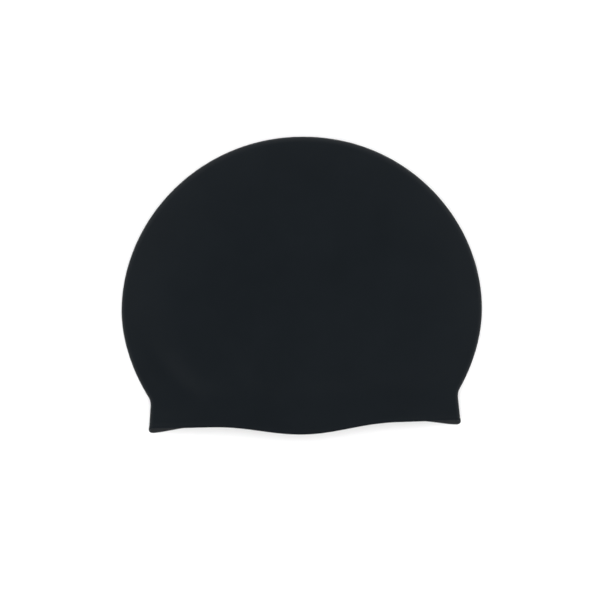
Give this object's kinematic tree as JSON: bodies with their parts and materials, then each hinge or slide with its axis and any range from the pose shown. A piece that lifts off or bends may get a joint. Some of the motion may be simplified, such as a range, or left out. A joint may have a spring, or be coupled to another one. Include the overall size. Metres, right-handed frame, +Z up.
{
  "type": "swim cap",
  "caption": "Plain moulded silicone swim cap lying flat on its side, with a narrowed rim band, ear lobes and a round bead along the open rim.",
  "frame": {"origin": "middle of the underside, on the surface that the cap lies on", "axes": "+X along the mouth, from the left fold to the right one; +Y from the mouth to the crown; +Z up through the lying cap"},
  "size_m": [0.23, 0.1896, 0.016],
  "materials": {
    "silicone_rubber": "satin black, moulded"
  },
  "bodies": {
    "root": {"cap_shell": "silicone_rubber"}
  },
  "joints": []
}
